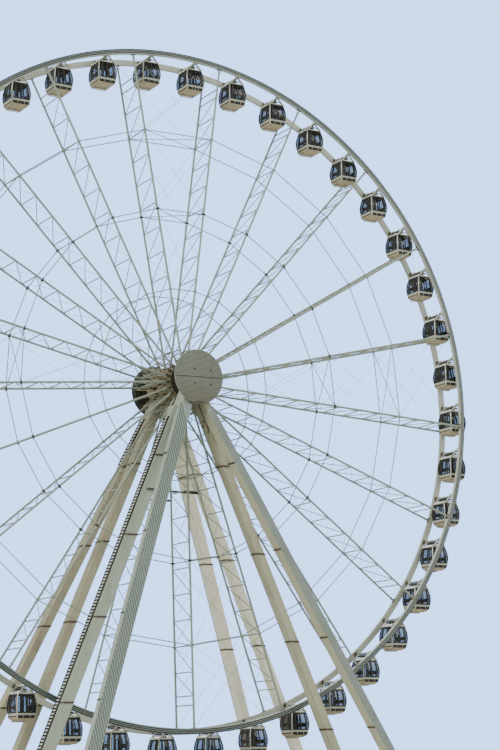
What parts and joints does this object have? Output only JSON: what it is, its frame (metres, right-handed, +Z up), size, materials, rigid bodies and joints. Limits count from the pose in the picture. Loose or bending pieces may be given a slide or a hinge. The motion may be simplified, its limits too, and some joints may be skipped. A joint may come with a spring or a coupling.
{
  "type": "half-size model of an observation wheel",
  "caption": "Observation wheel with closed cabins that stay level as it turns, on sloping legs, a ground frame and a boarding deck, modelled at half the real size.",
  "frame": {"origin": "on the ground, under the middle of the hub", "axes": "+Z up, +Y along the wheel's axle to the rear, +X to the right seen from the front"},
  "size_m": [27.9202, 11.6416, 29.9976],
  "materials": {
    "wheel_paint": "satin cream paint over welded steel tube",
    "hub_steel": "machined steel",
    "housing_paint": "satin grey-green paint with fine ridges",
    "cabin_paint": "cream enamel",
    "cabin_bowl": "beige moulded underside",
    "cabin_glass": "dark tinted glazing",
    "leg_paint": "satin beige-grey paint",
    "light_panel": "ribbed grey-green light strips",
    "dark_steel": "dark paint",
    "collar_steel": "weathered dark collar",
    "base_steel": "grey paint",
    "deck_metal": "chequered tread plate",
    "rail_metal": "galvanised rail",
    "seal_rubber": "black seal"
  },
  "bodies": {
    "support": {"front_hub_housing": "housing_paint", "rear_hub_housing": "housing_paint", "front_left_legs": "leg_paint", "front_right_legs": "leg_paint", "rear_left_legs": "leg_paint", "rear_right_legs": "leg_paint", "base_frame": "base_steel", "boarding_platform": "deck_metal"},
    "wheel": {"front_rim": "wheel_paint", "rear_rim": "wheel_paint", "spoke_set_1": "wheel_paint", "spoke_set_2": "wheel_paint", "spoke_set_3": "wheel_paint", "spoke_set_4": "wheel_paint", "spoke_set_5": "wheel_paint", "spoke_set_6": "wheel_paint", "spoke_set_7": "wheel_paint", "hub_spindle": "hub_steel"},
    "cabin_01": {"cabin_01": "cabin_paint"},
    "cabin_02": {"cabin_02": "cabin_paint"},
    "cabin_03": {"cabin_03": "cabin_paint"},
    "cabin_04": {"cabin_04": "cabin_paint"},
    "cabin_05": {"cabin_05": "cabin_paint"},
    "cabin_06": {"cabin_06": "cabin_paint"},
    "cabin_07": {"cabin_07": "cabin_paint"},
    "cabin_08": {"cabin_08": "cabin_paint"},
    "cabin_09": {"cabin_09": "cabin_paint"},
    "cabin_10": {"cabin_10": "cabin_paint"},
    "cabin_11": {"cabin_11": "cabin_paint"},
    "cabin_12": {"cabin_12": "cabin_paint"},
    "cabin_13": {"cabin_13": "cabin_paint"},
    "cabin_14": {"cabin_14": "cabin_paint"},
    "cabin_15": {"cabin_15": "cabin_paint"},
    "cabin_16": {"cabin_16": "cabin_paint"},
    "cabin_17": {"cabin_17": "cabin_paint"},
    "cabin_18": {"cabin_18": "cabin_paint"},
    "cabin_19": {"cabin_19": "cabin_paint"},
    "cabin_20": {"cabin_20": "cabin_paint"},
    "cabin_21": {"cabin_21": "cabin_paint"},
    "cabin_22": {"cabin_22": "cabin_paint"},
    "cabin_23": {"cabin_23": "cabin_paint"},
    "cabin_24": {"cabin_24": "cabin_paint"},
    "cabin_25": {"cabin_25": "cabin_paint"},
    "cabin_26": {"cabin_26": "cabin_paint"},
    "cabin_27": {"cabin_27": "cabin_paint"},
    "cabin_28": {"cabin_28": "cabin_paint"},
    "cabin_29": {"cabin_29": "cabin_paint"},
    "cabin_30": {"cabin_30": "cabin_paint"},
    "cabin_31": {"cabin_31": "cabin_paint"},
    "cabin_32": {"cabin_32": "cabin_paint"},
    "cabin_33": {"cabin_33": "cabin_paint"},
    "cabin_34": {"cabin_34": "cabin_paint"},
    "cabin_35": {"cabin_35": "cabin_paint"},
    "cabin_36": {"cabin_36": "cabin_paint"},
    "cabin_37": {"cabin_37": "cabin_paint"},
    "cabin_38": {"cabin_38": "cabin_paint"},
    "cabin_39": {"cabin_39": "cabin_paint"},
    "cabin_40": {"cabin_40": "cabin_paint"},
    "cabin_41": {"cabin_41": "cabin_paint"},
    "cabin_42": {"cabin_42": "cabin_paint"}
  },
  "joints": [
    {"name": "wheel_spin", "type": "hinge", "parent": "support", "child": "wheel", "pos_m": [0, 0, 16.35], "axis": [0, 1, 0], "continuous": true},
    {"name": "cabin_01_level", "type": "hinge", "parent": "wheel", "child": "cabin_01", "pos_m": [-6.98852, 0, 27.94416], "axis": [0, 1, 0], "continuous": true},
    {"name": "cabin_02_level", "type": "hinge", "parent": "wheel", "child": "cabin_02", "pos_m": [-5.18245, 0, 28.85624], "axis": [0, 1, 0], "continuous": true},
    {"name": "cabin_03_level", "type": "hinge", "parent": "wheel", "child": "cabin_03", "pos_m": [-3.26061, 0, 29.48896], "axis": [0, 1, 0], "continuous": true},
    {"name": "cabin_04_level", "type": "hinge", "parent": "wheel", "child": "cabin_04", "pos_m": [-1.26593, 0, 29.82818], "axis": [0, 1, 0], "continuous": true},
    {"name": "cabin_05_level", "type": "hinge", "parent": "wheel", "child": "cabin_05", "pos_m": [0.75703, 0, 29.86632], "axis": [0, 1, 0], "continuous": true},
    {"name": "cabin_06_level", "type": "hinge", "parent": "wheel", "child": "cabin_06", "pos_m": [2.76308, 0, 29.60252], "axis": [0, 1, 0], "continuous": true},
    {"name": "cabin_07_level", "type": "hinge", "parent": "wheel", "child": "cabin_07", "pos_m": [4.7074, 0, 29.04269], "axis": [0, 1, 0], "continuous": true},
    {"name": "cabin_08_level", "type": "hinge", "parent": "wheel", "child": "cabin_08", "pos_m": [6.54657, 0, 28.19932], "axis": [0, 1, 0], "continuous": true},
    {"name": "cabin_09_level", "type": "hinge", "parent": "wheel", "child": "cabin_09", "pos_m": [8.2395, 0, 27.09125], "axis": [0, 1, 0], "continuous": true},
    {"name": "cabin_10_level", "type": "hinge", "parent": "wheel", "child": "cabin_10", "pos_m": [9.74837, 0, 25.74325], "axis": [0, 1, 0], "continuous": true},
    {"name": "cabin_11_level", "type": "hinge", "parent": "wheel", "child": "cabin_11", "pos_m": [11.03948, 0, 24.18541], "axis": [0, 1, 0], "continuous": true},
    {"name": "cabin_12_level", "type": "hinge", "parent": "wheel", "child": "cabin_12", "pos_m": [12.08399, 0, 22.45255], "axis": [0, 1, 0], "continuous": true},
    {"name": "cabin_13_level", "type": "hinge", "parent": "wheel", "child": "cabin_13", "pos_m": [12.85856, 0, 20.58336], "axis": [0, 1, 0], "continuous": true},
    {"name": "cabin_14_level", "type": "hinge", "parent": "wheel", "child": "cabin_14", "pos_m": [13.34589, 0, 18.61961], "axis": [0, 1, 0], "continuous": true},
    {"name": "cabin_15_level", "type": "hinge", "parent": "wheel", "child": "cabin_15", "pos_m": [13.5351, 0, 16.60516], "axis": [0, 1, 0], "continuous": true},
    {"name": "cabin_16_level", "type": "hinge", "parent": "wheel", "child": "cabin_16", "pos_m": [13.42195, 0, 14.58501], "axis": [0, 1, 0], "continuous": true},
    {"name": "cabin_17_level", "type": "hinge", "parent": "wheel", "child": "cabin_17", "pos_m": [13.00898, 0, 12.60429], "axis": [0, 1, 0], "continuous": true},
    {"name": "cabin_18_level", "type": "hinge", "parent": "wheel", "child": "cabin_18", "pos_m": [12.30541, 0, 10.70723], "axis": [0, 1, 0], "continuous": true},
    {"name": "cabin_19_level", "type": "hinge", "parent": "wheel", "child": "cabin_19", "pos_m": [11.32696, 0, 8.93623], "axis": [0, 1, 0], "continuous": true},
    {"name": "cabin_20_level", "type": "hinge", "parent": "wheel", "child": "cabin_20", "pos_m": [10.09548, 0, 7.33084], "axis": [0, 1, 0], "continuous": true},
    {"name": "cabin_21_level", "type": "hinge", "parent": "wheel", "child": "cabin_21", "pos_m": [8.63849, 0, 5.92693], "axis": [0, 1, 0], "continuous": true},
    {"name": "cabin_22_level", "type": "hinge", "parent": "wheel", "child": "cabin_22", "pos_m": [6.98852, 0, 4.75584], "axis": [0, 1, 0], "continuous": true},
    {"name": "cabin_23_level", "type": "hinge", "parent": "wheel", "child": "cabin_23", "pos_m": [5.18245, 0, 3.84376], "axis": [0, 1, 0], "continuous": true},
    {"name": "cabin_24_level", "type": "hinge", "parent": "wheel", "child": "cabin_24", "pos_m": [3.26061, 0, 3.21104], "axis": [0, 1, 0], "continuous": true},
    {"name": "cabin_25_level", "type": "hinge", "parent": "wheel", "child": "cabin_25", "pos_m": [1.26593, 0, 2.87182], "axis": [0, 1, 0], "continuous": true},
    {"name": "cabin_26_level", "type": "hinge", "parent": "wheel", "child": "cabin_26", "pos_m": [-0.75703, 0, 2.83368], "axis": [0, 1, 0], "continuous": true},
    {"name": "cabin_27_level", "type": "hinge", "parent": "wheel", "child": "cabin_27", "pos_m": [-2.76308, 0, 3.09748], "axis": [0, 1, 0], "continuous": true},
    {"name": "cabin_28_level", "type": "hinge", "parent": "wheel", "child": "cabin_28", "pos_m": [-4.7074, 0, 3.65731], "axis": [0, 1, 0], "continuous": true},
    {"name": "cabin_29_level", "type": "hinge", "parent": "wheel", "child": "cabin_29", "pos_m": [-6.54657, 0, 4.50068], "axis": [0, 1, 0], "continuous": true},
    {"name": "cabin_30_level", "type": "hinge", "parent": "wheel", "child": "cabin_30", "pos_m": [-8.2395, 0, 5.60875], "axis": [0, 1, 0], "continuous": true},
    {"name": "cabin_31_level", "type": "hinge", "parent": "wheel", "child": "cabin_31", "pos_m": [-9.74837, 0, 6.95675], "axis": [0, 1, 0], "continuous": true},
    {"name": "cabin_32_level", "type": "hinge", "parent": "wheel", "child": "cabin_32", "pos_m": [-11.03948, 0, 8.51459], "axis": [0, 1, 0], "continuous": true},
    {"name": "cabin_33_level", "type": "hinge", "parent": "wheel", "child": "cabin_33", "pos_m": [-12.08399, 0, 10.24745], "axis": [0, 1, 0], "continuous": true},
    {"name": "cabin_34_level", "type": "hinge", "parent": "wheel", "child": "cabin_34", "pos_m": [-12.85856, 0, 12.11664], "axis": [0, 1, 0], "continuous": true},
    {"name": "cabin_35_level", "type": "hinge", "parent": "wheel", "child": "cabin_35", "pos_m": [-13.34589, 0, 14.08039], "axis": [0, 1, 0], "continuous": true},
    {"name": "cabin_36_level", "type": "hinge", "parent": "wheel", "child": "cabin_36", "pos_m": [-13.5351, 0, 16.09484], "axis": [0, 1, 0], "continuous": true},
    {"name": "cabin_37_level", "type": "hinge", "parent": "wheel", "child": "cabin_37", "pos_m": [-13.42195, 0, 18.11499], "axis": [0, 1, 0], "continuous": true},
    {"name": "cabin_38_level", "type": "hinge", "parent": "wheel", "child": "cabin_38", "pos_m": [-13.00898, 0, 20.09571], "axis": [0, 1, 0], "continuous": true},
    {"name": "cabin_39_level", "type": "hinge", "parent": "wheel", "child": "cabin_39", "pos_m": [-12.30541, 0, 21.99277], "axis": [0, 1, 0], "continuous": true},
    {"name": "cabin_40_level", "type": "hinge", "parent": "wheel", "child": "cabin_40", "pos_m": [-11.32696, 0, 23.76377], "axis": [0, 1, 0], "continuous": true},
    {"name": "cabin_41_level", "type": "hinge", "parent": "wheel", "child": "cabin_41", "pos_m": [-10.09548, 0, 25.36916], "axis": [0, 1, 0], "continuous": true},
    {"name": "cabin_42_level", "type": "hinge", "parent": "wheel", "child": "cabin_42", "pos_m": [-8.63849, 0, 26.77307], "axis": [0, 1, 0], "continuous": true}
  ],
  "couplings": [
    {"joint": "cabin_01_level", "follows": "wheel_spin", "ratio": -1},
    {"joint": "cabin_02_level", "follows": "wheel_spin", "ratio": -1},
    {"joint": "cabin_03_level", "follows": "wheel_spin", "ratio": -1},
    {"joint": "cabin_04_level", "follows": "wheel_spin", "ratio": -1},
    {"joint": "cabin_05_level", "follows": "wheel_spin", "ratio": -1},
    {"joint": "cabin_06_level", "follows": "wheel_spin", "ratio": -1},
    {"joint": "cabin_07_level", "follows": "wheel_spin", "ratio": -1},
    {"joint": "cabin_08_level", "follows": "wheel_spin", "ratio": -1},
    {"joint": "cabin_09_level", "follows": "wheel_spin", "ratio": -1},
    {"joint": "cabin_10_level", "follows": "wheel_spin", "ratio": -1},
    {"joint": "cabin_11_level", "follows": "wheel_spin", "ratio": -1},
    {"joint": "cabin_12_level", "follows": "wheel_spin", "ratio": -1},
    {"joint": "cabin_13_level", "follows": "wheel_spin", "ratio": -1},
    {"joint": "cabin_14_level", "follows": "wheel_spin", "ratio": -1},
    {"joint": "cabin_15_level", "follows": "wheel_spin", "ratio": -1},
    {"joint": "cabin_16_level", "follows": "wheel_spin", "ratio": -1},
    {"joint": "cabin_17_level", "follows": "wheel_spin", "ratio": -1},
    {"joint": "cabin_18_level", "follows": "wheel_spin", "ratio": -1},
    {"joint": "cabin_19_level", "follows": "wheel_spin", "ratio": -1},
    {"joint": "cabin_20_level", "follows": "wheel_spin", "ratio": -1},
    {"joint": "cabin_21_level", "follows": "wheel_spin", "ratio": -1},
    {"joint": "cabin_22_level", "follows": "wheel_spin", "ratio": -1},
    {"joint": "cabin_23_level", "follows": "wheel_spin", "ratio": -1},
    {"joint": "cabin_24_level", "follows": "wheel_spin", "ratio": -1},
    {"joint": "cabin_25_level", "follows": "wheel_spin", "ratio": -1},
    {"joint": "cabin_26_level", "follows": "wheel_spin", "ratio": -1},
    {"joint": "cabin_27_level", "follows": "wheel_spin", "ratio": -1},
    {"joint": "cabin_28_level", "follows": "wheel_spin", "ratio": -1},
    {"joint": "cabin_29_level", "follows": "wheel_spin", "ratio": -1},
    {"joint": "cabin_30_level", "follows": "wheel_spin", "ratio": -1},
    {"joint": "cabin_31_level", "follows": "wheel_spin", "ratio": -1},
    {"joint": "cabin_32_level", "follows": "wheel_spin", "ratio": -1},
    {"joint": "cabin_33_level", "follows": "wheel_spin", "ratio": -1},
    {"joint": "cabin_34_level", "follows": "wheel_spin", "ratio": -1},
    {"joint": "cabin_35_level", "follows": "wheel_spin", "ratio": -1},
    {"joint": "cabin_36_level", "follows": "wheel_spin", "ratio": -1},
    {"joint": "cabin_37_level", "follows": "wheel_spin", "ratio": -1},
    {"joint": "cabin_38_level", "follows": "wheel_spin", "ratio": -1},
    {"joint": "cabin_39_level", "follows": "wheel_spin", "ratio": -1},
    {"joint": "cabin_40_level", "follows": "wheel_spin", "ratio": -1},
    {"joint": "cabin_41_level", "follows": "wheel_spin", "ratio": -1},
    {"joint": "cabin_42_level", "follows": "wheel_spin", "ratio": -1}
  ]
}
